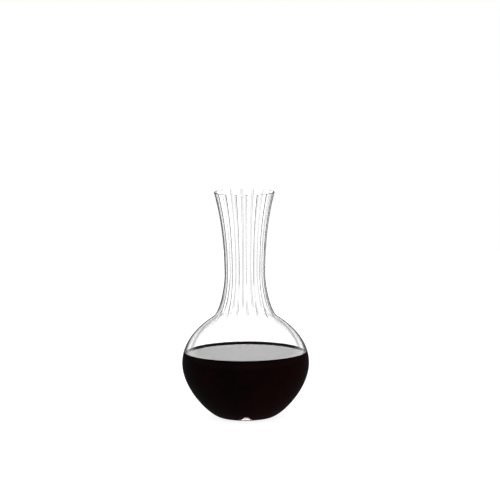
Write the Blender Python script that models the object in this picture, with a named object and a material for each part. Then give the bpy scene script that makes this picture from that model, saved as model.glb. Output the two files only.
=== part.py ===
"""Wine decanter: one blown glass vessel with a ribbed neck, and the red wine that it holds.

The vessel is turned about +Z. It stands on z = 0 and its axis passes through the origin.
"""

import math

import bmesh
import bpy

MM = 0.001

# Driving dimensions, in millimetres and degrees.
MOUTH_LEVEL = 252.8
FOOT_RADIUS = 29.0
FOOT_LIFT = 9.0
BOWL_RADIUS = 71.25
BOWL_LEVEL = 61.0
SHOULDER_RADIUS = 37.5
SHOULDER_LEVEL = 112.0
SHOULDER_SLOPE = 148.0
WAIST_RADIUS = 22.75
WAIST_LEVEL = 160.0
MOUTH_RADIUS = 33.7
MOUTH_SLOPE = 75.0

# Glass: the wall is thickest at the foot, and the underside is raised inside the foot ring.
FLOOR_WALL = 5.0
BOWL_WALL = 2.0
NECK_WALL = 1.0
FOOT_RING_WIDTH = 5.0
UNDERSIDE_LIFT = 2.0

# Ribs: narrow ridges on the inner side of the neck, which fade out on the shoulder and over the lip. Their
# height is a share of the radius. Height and sharpness run from the front rib's to the back rib's, and
# the ribs at the sides are lower by the unevenness.
RIBS = 16
RIB_SHARES = (0.038, 0.052)
RIB_UNEVENNESS = 0.8
RIB_SHARPNESS = (16.0, 11.0)
RIB_PHASE = 5.0
RIB_FADE_LEVELS = (106.0, 130.0)

# Wine: fills the bowl to a little above its widest level.
WINE_LEVEL = 72.0
WINE_GAP = 0.3

# Mesh density.
SEGMENTS = 6 * RIBS
RIB_CROWDING = 0.5
SPAN_STEPS = (7, 7, 6, 5)
UNDERSIDE_RINGS = 3
LIP_STEPS = 4

GLASS_COLOR = (0.93, 0.96, 0.95, 1.0)
WINE_COLOR = (0.10, 0.006, 0.012, 1.0)


def smoothstep(low, high, value):
    """Rise from 0 at low to 1 at high, with no kink at either end."""
    share = min(max((value - low) / (high - low), 0.0), 1.0)
    return share * share * (3.0 - 2.0 * share)


def station(radius, level, slope, pull_in, pull_out):
    """A point of the outer outline with its two Bezier handles, which lie along the slope."""
    along = (math.cos(math.radians(slope)), math.sin(math.radians(slope)))
    before = (radius - pull_in * along[0], level - pull_in * along[1])
    after = (radius + pull_out * along[0], level + pull_out * along[1])
    return before, (radius, level), after


def outline_stations():
    """Foot, widest level, shoulder, waist and mouth, from the bottom up."""
    return [
        station(FOOT_RADIUS, 0.0, FOOT_LIFT, 0.0, 12.0),
        station(BOWL_RADIUS, BOWL_LEVEL, 90.0, 29.0, 25.5),
        station(SHOULDER_RADIUS, SHOULDER_LEVEL, SHOULDER_SLOPE, 14.0, 12.5),
        station(WAIST_RADIUS, WAIST_LEVEL, 90.0, 9.0, 25.0),
        station(MOUTH_RADIUS, MOUTH_LEVEL, MOUTH_SLOPE, 37.5, 0.0),
    ]


def bezier(points, t):
    """Point and unit tangent of a cubic Bezier curve at t."""
    a, b, c, d = points
    s = 1.0 - t
    weights = (s * s * s, 3 * s * s * t, 3 * s * t * t, t * t * t)
    place = [sum(w * p[i] for w, p in zip(weights, points)) for i in range(2)]
    rate = [s * s * (b[i] - a[i]) + 2 * s * t * (c[i] - b[i]) + t * t * (d[i] - c[i]) for i in range(2)]
    length = math.hypot(*rate)
    return place, (rate[0] / length, rate[1] / length)


def outer_outline():
    """Outer side of the glass from foot to mouth, as (point, tangent) pairs."""
    stations = outline_stations()
    pairs = []
    for lower, upper, steps in zip(stations, stations[1:], SPAN_STEPS):
        points = (lower[1], lower[2], upper[0], upper[1])
        pairs += [bezier(points, step / steps) for step in range(steps)]
    pairs.append(bezier(points, 1.0))
    return pairs


def wall_thickness(level):
    """Thickness of the glass at a level of its outer side."""
    above_floor = smoothstep(0.0, 25.0, level)
    above_shoulder = smoothstep(BOWL_LEVEL, WAIST_LEVEL, level)
    bowl = FLOOR_WALL + (BOWL_WALL - FLOOR_WALL) * above_floor
    return bowl + (NECK_WALL - BOWL_WALL) * above_shoulder


def inner_outline(outer):
    """Inner side of the glass from the floor's edge to the mouth, without its ribs."""
    inner = []
    for (radius, level), (along_r, along_z) in outer:
        wall = wall_thickness(level)
        inner.append((radius - wall * along_z, level + wall * along_r))
    return inner


def underside():
    """Raised underside from its middle out to the foot ring."""
    edge = FOOT_RADIUS - FOOT_RING_WIDTH
    shares = [ring / UNDERSIDE_RINGS for ring in range(1, UNDERSIDE_RINGS + 1)]
    return [(edge * share, UNDERSIDE_LIFT * (1.0 - share * share)) for share in shares]


def lip(outer_end, inner_end):
    """Half circle that closes the mouth between the two sides of the glass."""
    middle = [(a + b) / 2 for a, b in zip(outer_end, inner_end)]
    arm = [a - b for a, b in zip(outer_end, middle)]
    points = []
    for step in range(1, LIP_STEPS):
        turn = math.pi * step / LIP_STEPS
        across, up = math.cos(turn), math.sin(turn)
        points.append((middle[0] + across * arm[0] - up * arm[1], middle[1] + across * arm[1] + up * arm[0]))
    return points


def rib_depth(radius, level, azimuth):
    """How far the glass reaches in towards the axis at a point of the neck's inner side."""
    behind = 0.5 + 0.5 * math.sin(azimuth)
    share = RIB_SHARES[0] + (RIB_SHARES[1] - RIB_SHARES[0]) * behind
    sharpness = RIB_SHARPNESS[0] + (RIB_SHARPNESS[1] - RIB_SHARPNESS[0]) * behind
    evenness = 1.0 - RIB_UNEVENNESS * math.cos(azimuth) ** 2
    ridge = (0.5 + 0.5 * math.cos(RIBS * azimuth)) ** sharpness
    return share * radius * evenness * ridge * smoothstep(*RIB_FADE_LEVELS, level)


def add_ring(mesh, radius, level, ribbed=0.0):
    """One ring of vertices about the axis, which crowd together at the ribs' crests.

    The first vertex is on a rib. ribbed is the ring's share of the ribs' height.
    """
    ring = []
    for segment in range(SEGMENTS):
        even = 2.0 * math.pi * segment / SEGMENTS
        azimuth = even - RIB_CROWDING * math.sin(RIBS * even) / RIBS
        reach = radius - ribbed * rib_depth(radius, level, azimuth)
        turned = azimuth + math.radians(RIB_PHASE)
        place = (reach * math.cos(turned) * MM, reach * math.sin(turned) * MM, level * MM)
        ring.append(mesh.verts.new(place))
    return ring


def bridge(mesh, rings):
    """Faces between each ring and the next."""
    for lower, upper in zip(rings, rings[1:]):
        for segment in range(SEGMENTS):
            following = (segment + 1) % SEGMENTS
            mesh.faces.new((lower[segment], lower[following], upper[following], upper[segment]))


def close_end(mesh, ring, level):
    """Close a ring with a fan of faces to a vertex on the axis."""
    middle = mesh.verts.new((0.0, 0.0, level * MM))
    for segment in range(SEGMENTS):
        mesh.faces.new((ring[segment], ring[(segment + 1) % SEGMENTS], middle))


def make_object(name, mesh, material):
    """Turn a finished mesh into a named, smoothly shaded object."""
    bmesh.ops.recalc_face_normals(mesh, faces=mesh.faces)
    data = bpy.data.meshes.new(name)
    mesh.to_mesh(data)
    mesh.free()
    data.materials.append(material)
    data.shade_smooth()
    data.set_sharp_from_angle(angle=math.radians(35.0))
    made = bpy.data.objects.new(name, data)
    bpy.context.scene.collection.objects.link(made)
    return made


def make_material(name, color, roughness, transmission):
    """Principled material of a clear or tinted medium."""
    material = bpy.data.materials.new(name)
    material.use_nodes = True
    shader = material.node_tree.nodes["Principled BSDF"]
    shader.inputs["Base Color"].default_value = color
    shader.inputs["Roughness"].default_value = roughness
    shader.inputs["Metallic"].default_value = 0.0
    shader.inputs["Transmission Weight"].default_value = transmission
    material.diffuse_color = color
    return material


def make_glass(outer, inner):
    """The vessel: underside, foot, outer side, lip, ribbed inner side and floor."""
    mesh = bmesh.new()
    outer_points = [point for point, _ in outer]
    rings = [add_ring(mesh, *point) for point in underside() + outer_points]
    for step, point in enumerate(lip(outer_points[-1], inner[-1]), start=1):
        rings.append(add_ring(mesh, *point, ribbed=smoothstep(0.0, LIP_STEPS, step)))
    rings += [add_ring(mesh, *point, ribbed=1.0) for point in reversed(inner)]
    bridge(mesh, rings)
    close_end(mesh, rings[0], UNDERSIDE_LIFT)
    close_end(mesh, rings[-1], inner[0][1])
    return make_object("decanter_glass", mesh, make_material("clear_glass", GLASS_COLOR, 0.02, 1.0))


def wine_outline(inner):
    """Side of the wine: the glass's inner side up to the wine's level, less the gap."""
    below = [point for point in inner if point[1] < WINE_LEVEL]
    (r_low, z_low), (r_high, z_high) = inner[len(below) - 1], inner[len(below)]
    share = (WINE_LEVEL - z_low) / (z_high - z_low)
    side = below + [(r_low + share * (r_high - r_low), WINE_LEVEL)]
    floor = below[0][1] + WINE_GAP
    return [(radius - 2 * WINE_GAP, max(level, floor)) for radius, level in side]


def make_wine(inner):
    """The wine as a closed solid with a flat top."""
    mesh = bmesh.new()
    side = wine_outline(inner)
    rings = [add_ring(mesh, *point) for point in side]
    bridge(mesh, rings)
    close_end(mesh, rings[0], side[0][1])
    close_end(mesh, rings[-1], WINE_LEVEL)
    return make_object("wine", mesh, make_material("red_wine", WINE_COLOR, 0.05, 0.6))


def main():
    for old in list(bpy.data.objects):
        bpy.data.objects.remove(old, do_unlink=True)
    outer = outer_outline()
    inner = inner_outline(outer)
    make_glass(outer, inner)
    make_wine(inner)


main()
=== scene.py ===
"""The wine decanter's finished look: fine glass and wine surfaces, their materials, and the studio."""

import math

import bpy
import numpy as np
from mathutils import Matrix


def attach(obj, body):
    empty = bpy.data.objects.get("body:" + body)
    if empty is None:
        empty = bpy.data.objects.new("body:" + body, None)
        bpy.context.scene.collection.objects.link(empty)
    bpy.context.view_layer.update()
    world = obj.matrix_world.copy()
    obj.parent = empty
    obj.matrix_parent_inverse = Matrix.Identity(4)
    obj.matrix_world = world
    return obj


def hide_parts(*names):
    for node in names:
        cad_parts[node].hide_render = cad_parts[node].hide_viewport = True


MM = 0.001

# The vessel's outline, in millimetres and degrees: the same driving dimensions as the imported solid's.
MOUTH_LEVEL = 252.8
FOOT_RADIUS = 29.0
FOOT_LIFT = 9.0
BOWL_RADIUS = 71.25
BOWL_LEVEL = 61.0
SHOULDER_RADIUS = 37.5
SHOULDER_LEVEL = 112.0
SHOULDER_SLOPE = 148.0
WAIST_RADIUS = 22.75
WAIST_LEVEL = 160.0
MOUTH_RADIUS = 33.7
MOUTH_SLOPE = 75.0
FLOOR_WALL = 5.0
BOWL_WALL = 2.0
NECK_WALL = 1.0
FLOOR_FADE_LEVELS = (0.0, 25.0)
WALL_FADE_LEVELS = (61.0, 160.0)
FOOT_RING_WIDTH = 5.0
UNDERSIDE_LIFT = 2.0
WINE_LEVEL = 72.0

# Ribs on the inner side of the neck. Their height is a share of the radius. Height and sharpness run
# from the front rib's to the back rib's, and the ribs at the sides are lower by the unevenness.
RIBS = 16
RIB_SHARES = (0.038, 0.052)
RIB_UNEVENNESS = 0.8
RIB_PHASE = 5.0
RIB_SHARPNESS = (16.0, 11.0)
RIB_CROWDING = 0.5
RIB_FADE_LEVELS = (106.0, 130.0)

# Wine: it wets the glass, and climbs the wall in a narrow meniscus.
WINE_OVERLAP = 0.08
MENISCUS_RISE = 1.8
MENISCUS_REACH = 0.8
MENISCUS_WIDTH = 6.0

# Mesh density. The narrow last span under the lip keeps the lip's rounding out of the wall's shading.
SEGMENTS = 24 * RIBS
SPAN_STEPS = (40, 36, 32, 28)
UNDERSIDE_RINGS = 10
LIP_STEPS = 12
RIM_SPAN = 0.003
MENISCUS_RINGS = 24
FLAT_RINGS = 8

# Materials. Where the wine wets the glass, its refraction is the one against glass, not against air.
WHITE = (1.0, 1.0, 1.0, 1.0)
GLASS_REFRACTION = 1.5
GLASS_TINT = (0.72, 0.86, 0.84, 1.0)
GLASS_DENSITY = 2.0
GLASS_ROUGHNESS = (0.0, 0.03)
WAVE_HEIGHT = 0.02
WINE_REFRACTION = 1.34
WETTED_REFRACTION = 1.06
WINE_COLORS = ((0.001, 0.0001, 0.0001, 1.0), (0.01, 0.0003, 0.0005, 1.0))
WINE_ROUGHNESS = (0.0, 0.02)
FLOOR_COLOR = (0.4, 0.4, 0.4, 1.0)
FLOOR_GLOW = 0.85


def smoothstep(low, high, value):
    """Rise from 0 at low to 1 at high, with no kink at either end."""
    share = np.clip((value - low) / (high - low), 0.0, 1.0)
    return share * share * (3.0 - 2.0 * share)


def station(radius, level, slope, pull_in, pull_out):
    """A point of the outer outline with its two Bezier handles, which lie along the slope."""
    along = (math.cos(math.radians(slope)), math.sin(math.radians(slope)))
    before = (radius - pull_in * along[0], level - pull_in * along[1])
    after = (radius + pull_out * along[0], level + pull_out * along[1])
    return before, (radius, level), after


def outline_stations():
    """Foot, widest level, shoulder, waist and mouth, from the bottom up."""
    return [
        station(FOOT_RADIUS, 0.0, FOOT_LIFT, 0.0, 12.0),
        station(BOWL_RADIUS, BOWL_LEVEL, 90.0, 29.0, 25.5),
        station(SHOULDER_RADIUS, SHOULDER_LEVEL, SHOULDER_SLOPE, 14.0, 12.5),
        station(WAIST_RADIUS, WAIST_LEVEL, 90.0, 9.0, 25.0),
        station(MOUTH_RADIUS, MOUTH_LEVEL, MOUTH_SLOPE, 37.5, 0.0),
    ]


def bezier(points, t):
    """Point and unit tangent of a cubic Bezier curve at t."""
    a, b, c, d = (np.array(point) for point in points)
    s = 1.0 - t
    place = s**3 * a + 3 * s * s * t * b + 3 * s * t * t * c + t**3 * d
    rate = s * s * (b - a) + 2 * s * t * (c - b) + t * t * (d - c)
    return place, rate / np.hypot(*rate)


def outer_outline():
    """Points and unit tangents of the glass's outer side, from foot to mouth."""
    stations = outline_stations()
    pairs = []
    for lower, upper, steps in zip(stations, stations[1:], SPAN_STEPS):
        points = (lower[1], lower[2], upper[0], upper[1])
        pairs += [bezier(points, step / steps) for step in range(steps)]
    pairs += [bezier(points, 1.0 - RIM_SPAN), bezier(points, 1.0)]
    return np.array([place for place, _ in pairs]), np.array([along for _, along in pairs])


def wall_thickness(level):
    """Thickness of the glass at a level of its outer side."""
    above_floor = smoothstep(*FLOOR_FADE_LEVELS, level)
    above_shoulder = smoothstep(*WALL_FADE_LEVELS, level)
    bowl = FLOOR_WALL + (BOWL_WALL - FLOOR_WALL) * above_floor
    return bowl + (NECK_WALL - BOWL_WALL) * above_shoulder


def inner_outline(places, tangents):
    """Points of the glass's inner side, from the floor's edge to the mouth, without the ribs."""
    inward = np.stack([-tangents[:, 1], tangents[:, 0]], axis=1)
    return places + wall_thickness(places[:, 1])[:, None] * inward


def underside():
    """Raised underside from its middle out to the foot ring."""
    edge = FOOT_RADIUS - FOOT_RING_WIDTH
    shares = [ring / UNDERSIDE_RINGS for ring in range(1, UNDERSIDE_RINGS + 1)]
    return np.array([(edge * share, UNDERSIDE_LIFT * (1.0 - share * share)) for share in shares])


def lip(outer_end, inner_end):
    """Half circle that closes the mouth between the two sides of the glass."""
    middle = (outer_end + inner_end) / 2
    arm = outer_end - middle
    turns = [math.pi * step / LIP_STEPS for step in range(1, LIP_STEPS)]
    raised = np.array([-arm[1], arm[0]])
    return np.array([middle + math.cos(turn) * arm + math.sin(turn) * raised for turn in turns])


def rib_depth(radius, level, azimuth):
    """How far the glass reaches in towards the axis at a point of the neck's inner side."""
    behind = 0.5 + 0.5 * np.sin(azimuth)
    share = RIB_SHARES[0] + (RIB_SHARES[1] - RIB_SHARES[0]) * behind
    sharpness = RIB_SHARPNESS[0] + (RIB_SHARPNESS[1] - RIB_SHARPNESS[0]) * behind
    evenness = 1.0 - RIB_UNEVENNESS * np.cos(azimuth) ** 2
    ridge = (0.5 + 0.5 * np.cos(RIBS * azimuth)) ** sharpness
    return share * radius * evenness * ridge * smoothstep(*RIB_FADE_LEVELS, level)


def turned_mesh(name, outline, ribbed):
    """Closed smooth mesh turned from an outline, which runs from the axis out and back to the axis.

    The outline's first and last points lie on the axis. ribbed is each point's share of the ribs' height.
    The segments crowd together at the ribs' crests.
    """
    even = np.arange(SEGMENTS) * 2.0 * math.pi / SEGMENTS
    azimuths = even - RIB_CROWDING * np.sin(RIBS * even) / RIBS
    turned = azimuths + math.radians(RIB_PHASE)
    vertices = [(0.0, 0.0, outline[0][1] * MM)]
    for (radius, level), share in zip(outline[1:-1], ribbed[1:-1]):
        reach = radius - share * rib_depth(radius, level, azimuths)
        ring = np.stack([reach * np.cos(turned), reach * np.sin(turned), 0.0 * reach + level], axis=1)
        vertices += [tuple(point) for point in ring * MM]
    last = len(vertices)
    vertices.append((0.0, 0.0, outline[-1][1] * MM))
    faces = []
    for segment in range(SEGMENTS):
        following = (segment + 1) % SEGMENTS
        faces.append((0, 1 + following, 1 + segment))
        for ring in range(len(outline) - 3):
            lower = 1 + ring * SEGMENTS
            upper = lower + SEGMENTS
            faces.append((lower + segment, lower + following, upper + following, upper + segment))
        top = last - SEGMENTS
        faces.append((top + segment, top + following, last))
    mesh = bpy.data.meshes.new(name)
    mesh.from_pydata(vertices, [], faces)
    mesh.shade_smooth()
    return mesh


def add_piece(name, mesh, node, material):
    """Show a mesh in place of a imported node."""
    mesh.materials.append(material)
    piece = bpy.data.objects.new(name, mesh)
    bpy.context.scene.collection.objects.link(piece)
    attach(piece, "root")
    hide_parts(node)
    return piece


def glass_outline():
    """Underside, foot, outer side, lip, inner side and floor, with the points that carry ribs."""
    places, tangents = outer_outline()
    inner = inner_outline(places, tangents)
    floor_level = inner[0][1]
    floor = [(inner[0][0] * ring / FLAT_RINGS, floor_level) for ring in range(FLAT_RINGS - 1, -1, -1)]
    plain = [np.array([(0.0, UNDERSIDE_LIFT)]), underside(), places, lip(places[-1], inner[-1])]
    outline = np.concatenate(plain + [inner[::-1], np.array(floor)])
    smooth = len(outline) - len(floor) - len(inner) - (LIP_STEPS - 1)
    over_lip = smoothstep(0.0, 1.0, np.arange(1, LIP_STEPS) / LIP_STEPS)
    ribbed = np.concatenate([np.zeros(smooth), over_lip, np.ones(len(inner)), np.zeros(len(floor))])
    return outline, ribbed


def wine_outline():
    """Floor, wetted wall, meniscus and level surface of the wine."""
    places, tangents = outer_outline()
    inner = inner_outline(places, tangents)
    top = WINE_LEVEL + MENISCUS_RISE
    below = inner[inner[:, 1] < top]
    wall_radius = np.interp(top, inner[:, 1], inner[:, 0])
    wetted = np.concatenate([below, [(wall_radius, top)]])
    wetted[:, 0] += WINE_OVERLAP
    floor_level = inner[0][1] - WINE_OVERLAP
    wetted[:, 1] = np.maximum(wetted[:, 1] - WINE_OVERLAP, floor_level)
    floor = [(wetted[0][0] * ring / FLAT_RINGS, floor_level) for ring in range(FLAT_RINGS)]
    away = MENISCUS_WIDTH * (np.arange(1, MENISCUS_RINGS + 1) / MENISCUS_RINGS) ** 2
    rise = MENISCUS_RISE * (np.exp(-away / MENISCUS_REACH) - math.exp(-MENISCUS_WIDTH / MENISCUS_REACH))
    meniscus = np.stack([wall_radius - away, WINE_LEVEL + rise], axis=1)
    flat = [(meniscus[-1][0] * ring / FLAT_RINGS, WINE_LEVEL) for ring in range(FLAT_RINGS - 1, -1, -1)]
    return np.concatenate([floor, wetted, meniscus, flat]), len(floor) + len(wetted)


def give_open_surface(mesh, open_from):
    """Second material on the faces from one ring of the outline upwards."""
    for face in mesh.polygons:
        rings = [(vertex - 1) // SEGMENTS + 1 for vertex in face.vertices]
        face.material_index = int(min(rings) >= open_from - 1)


def shader_of(material):
    """The material's Principled shader."""
    return material.node_tree.nodes["Principled BSDF"]


def new_material(name):
    """Empty Principled material."""
    material = bpy.data.materials.new(name)
    material.use_nodes = True
    return material


def noise_of(material, scale, detail, stretch):
    """Noise over the piece's own coordinates, drawn out along the axis."""
    nodes, links = material.node_tree.nodes, material.node_tree.links
    place = nodes.new("ShaderNodeTexCoord")
    mapping = nodes.new("ShaderNodeMapping")
    mapping.inputs["Scale"].default_value = (1.0, 1.0, 1.0 / stretch)
    noise = nodes.new("ShaderNodeTexNoise")
    noise.inputs["Scale"].default_value = scale
    noise.inputs["Detail"].default_value = detail
    links.new(place.outputs["Object"], mapping.inputs["Vector"])
    links.new(mapping.outputs["Vector"], noise.inputs["Vector"])
    return noise


def spread(material, noise, low, high):
    """Noise carried onto the range from low to high."""
    node = material.node_tree.nodes.new("ShaderNodeMapRange")
    node.inputs["From Min"].default_value = 0.3
    node.inputs["From Max"].default_value = 0.7
    node.inputs["To Min"].default_value = low
    node.inputs["To Max"].default_value = high
    material.node_tree.links.new(noise.outputs["Fac"], node.inputs["Value"])
    return node.outputs["Result"]


def glass_material():
    """Clear blown glass, with the faint waviness of a blown wall."""
    material = new_material("clear_glass")
    nodes, links = material.node_tree.nodes, material.node_tree.links
    shader = shader_of(material)
    shader.inputs["Base Color"].default_value = WHITE
    roughness = spread(material, noise_of(material, 35.0, 3.0, 1.0), *GLASS_ROUGHNESS)
    links.new(roughness, shader.inputs["Roughness"])
    waviness = nodes.new("ShaderNodeBump")
    waviness.inputs["Strength"].default_value = 1.0
    waviness.inputs["Distance"].default_value = WAVE_HEIGHT * MM
    links.new(noise_of(material, 90.0, 1.0, 5.0).outputs["Fac"], waviness.inputs["Height"])
    links.new(waviness.outputs["Normal"], shader.inputs["Normal"])
    shader.inputs["IOR"].default_value = GLASS_REFRACTION
    shader.inputs["Transmission Weight"].default_value = 1.0
    absorption = nodes.new("ShaderNodeVolumeAbsorption")
    absorption.inputs["Color"].default_value = GLASS_TINT
    absorption.inputs["Density"].default_value = GLASS_DENSITY
    links.new(absorption.outputs["Volume"], nodes["Material Output"].inputs["Volume"])
    return material


def wine_material(name, refraction):
    """Dark red wine, whose surface mirrors as its refraction against what it meets gives."""
    material = new_material(name)
    nodes, links = material.node_tree.nodes, material.node_tree.links
    shader = shader_of(material)
    depth = nodes.new("ShaderNodeValToRGB")
    depth.color_ramp.elements[0].position = 0.35
    depth.color_ramp.elements[0].color = WINE_COLORS[0]
    depth.color_ramp.elements[1].position = 0.7
    depth.color_ramp.elements[1].color = WINE_COLORS[1]
    links.new(noise_of(material, 14.0, 2.0, 1.5).outputs["Fac"], depth.inputs["Fac"])
    links.new(depth.outputs["Color"], shader.inputs["Base Color"])
    roughness = spread(material, noise_of(material, 40.0, 3.0, 1.0), *WINE_ROUGHNESS)
    links.new(roughness, shader.inputs["Roughness"])
    shader.inputs["IOR"].default_value = refraction
    return material


def add_camera():
    """Long lens a little above the mouth's level, rolled slightly, with the decanter left of centre."""
    distance, height = 3.076, 0.579
    pitch, yaw, roll = math.radians(7.19), math.radians(0.11), math.radians(0.45)
    data = bpy.data.cameras.new("camera")
    data.sensor_width = 36.0
    data.lens = 200.0
    data.clip_end = 50.0
    camera = bpy.data.objects.new("camera", data)
    bpy.context.scene.collection.objects.link(camera)
    level_view = Matrix.Rotation(-yaw, 4, "Z") @ Matrix.Rotation(math.radians(90.0) - pitch, 4, "X")
    turn = level_view @ Matrix.Rotation(-roll, 4, "Z")
    camera.matrix_world = Matrix.Translation((0.0, -distance, height)) @ turn
    bpy.context.scene.camera = camera


class NodeSums:
    """Short calls for the arithmetic nodes of one node tree."""

    def __init__(self, tree):
        self.tree = tree

    def math(self, operation, *values):
        """A Math node on sockets or numbers, and its output."""
        node = self.tree.nodes.new("ShaderNodeMath")
        node.operation = operation
        for socket, value in zip(node.inputs, values):
            if isinstance(value, (int, float)):
                socket.default_value = value
            else:
                self.tree.links.new(value, socket)
        return node.outputs[0]

    def eased(self, angle, stops):
        """Level at an angle in radians, straight from stop to stop: stops are (degrees, level) pairs."""
        first, last = stops[0][0], stops[-1][0]
        share = self.math("MULTIPLY_ADD", angle, math.degrees(1.0) / (last - first), -first / (last - first))
        node = self.tree.nodes.new("ShaderNodeValToRGB")
        ramp = node.color_ramp
        while len(ramp.elements) < len(stops):
            ramp.elements.new(1.0)
        for element, (degrees, level) in zip(ramp.elements, stops):
            element.position = (degrees - first) / (last - first)
            element.color = (level, level, level, 1.0)
        self.tree.links.new(share, node.inputs[0])
        return node.outputs[0]


# Studio. Eight soft white panels stand round the decanter, with a dimmer line beside each and a dimmer
# wall between them. This surround is what shows through the glass. What the camera sees past the
# decanter is plain white. What the outside of the glass mirrors is dark, but for one small card. What is
# mirrored behind the glass, as by the wine's surface, is a band of light low over the horizon.
# A stop is an angle in degrees and a level. The angle is an azimuth off a panel's or the card's middle,
# or a height above the horizon.
PANEL_PITCH = 45.0
PANEL_STOPS = [
    (0.0, 1.0),
    (4.3, 1.0),
    (4.8, 0.5),
    (5.8, 0.5),
    (6.6, 1.0),
    (8.0, 1.0),
    (16.0, 0.45),
    (22.5, 0.45),
]
PANEL_LIGHT = 1.6
BAND_HEIGHTS = [(1.0, 0.12), (4.0, 1.0), (11.0, 1.0), (20.0, 0.03)]
BAND_LIGHT = 1.5
CARD_STOPS = [(0.0, 1.0), (3.5, 1.0), (4.5, 0.0)]
CARD_HEIGHTS = [(-64.0, 0.0), (-58.0, 6.0), (-44.0, 6.0), (-41.0, 0.0)]
MIRRORED_LIGHT = 0.03


def add_studio():
    """World light: plain white seen directly, panels seen through glass, and mostly dark when mirrored."""
    world = bpy.data.worlds.new("studio")
    bpy.context.scene.world = world
    world.use_nodes = True
    tree = world.node_tree
    tree.nodes.clear()
    sums = NodeSums(tree)
    place = tree.nodes.new("ShaderNodeTexCoord")
    split = tree.nodes.new("ShaderNodeSeparateXYZ")
    tree.links.new(place.outputs["Generated"], split.inputs[0])
    azimuth = sums.math("ARCTAN2", split.outputs[0], split.outputs[1])
    off_panel = sums.math("PINGPONG", azimuth, math.radians(PANEL_PITCH / 2))
    height = sums.math("ARCSINE", split.outputs[2])
    panels = sums.eased(off_panel, PANEL_STOPS)
    rays = tree.nodes.new("ShaderNodeLightPath")
    was_mirrored = sums.math("MINIMUM", rays.outputs["Glossy Depth"], 1.0)
    seen = sums.math("MULTIPLY", panels, PANEL_LIGHT)
    band = sums.math("MULTIPLY", sums.eased(height, BAND_HEIGHTS), BAND_LIGHT)
    turned = sums.math("MULTIPLY_ADD", was_mirrored, sums.math("SUBTRACT", band, seen), seen)
    bent = sums.math("MULTIPLY", turned, rays.outputs["Is Transmission Ray"])
    card = sums.eased(sums.math("ABSOLUTE", azimuth), CARD_STOPS)
    sheen = sums.math("MULTIPLY_ADD", card, sums.eased(height, CARD_HEIGHTS), MIRRORED_LIGHT)
    mirrored = sums.math("MULTIPLY", rays.outputs["Is Glossy Ray"], sheen)
    straight = sums.math("MAXIMUM", rays.outputs["Is Camera Ray"], rays.outputs["Is Diffuse Ray"])
    total = sums.math("ADD", sums.math("ADD", bent, mirrored), straight)
    background = tree.nodes.new("ShaderNodeBackground")
    background.inputs["Color"].default_value = WHITE
    output = tree.nodes.new("ShaderNodeOutputWorld")
    tree.links.new(total, background.inputs["Strength"])
    tree.links.new(background.outputs[0], output.inputs[0])
    bpy.context.scene.view_settings.view_transform = "Standard"


def add_floor():
    """Pale floor under the decanter."""
    radius, drop, sides = 1.5, 0.5, 96
    turns = [2.0 * math.pi * side / sides for side in range(sides)]
    rim = [(radius * math.cos(turn), radius * math.sin(turn), -drop * MM) for turn in turns]
    mesh = bpy.data.meshes.new("floor")
    mesh.from_pydata(rim, [], [tuple(range(sides))])
    floor = bpy.data.objects.new("floor", mesh)
    bpy.context.scene.collection.objects.link(floor)
    material = new_material("pale_floor")
    shader = shader_of(material)
    shader.inputs["Base Color"].default_value = FLOOR_COLOR
    shader.inputs["Roughness"].default_value = 0.9
    shader.inputs["Specular IOR Level"].default_value = 0.0
    shader.inputs["Emission Color"].default_value = WHITE
    shader.inputs["Emission Strength"].default_value = FLOOR_GLOW
    mesh.materials.append(material)
    floor.visible_glossy = False
    floor.visible_transmission = False


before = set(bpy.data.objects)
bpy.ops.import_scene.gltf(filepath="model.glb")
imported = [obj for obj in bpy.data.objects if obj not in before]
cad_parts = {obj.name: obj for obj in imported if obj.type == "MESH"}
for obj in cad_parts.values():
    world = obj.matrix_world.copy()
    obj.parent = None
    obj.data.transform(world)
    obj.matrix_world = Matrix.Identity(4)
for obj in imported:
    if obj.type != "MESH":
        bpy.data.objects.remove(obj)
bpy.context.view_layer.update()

glass_points, glass_ribs = glass_outline()
wine_points, open_from = wine_outline()
wine_mesh = turned_mesh("wine_fill", wine_points, np.zeros(len(wine_points)))
add_piece(
    "glass_vessel",
    turned_mesh("glass_vessel", glass_points, glass_ribs),
    "decanter_glass",
    glass_material(),
)
add_piece("wine_fill", wine_mesh, "wine", wine_material("red_wine", WETTED_REFRACTION))
wine_mesh.materials.append(wine_material("red_wine_surface", WINE_REFRACTION))
give_open_surface(wine_mesh, open_from)
add_camera()
add_studio()
add_floor()
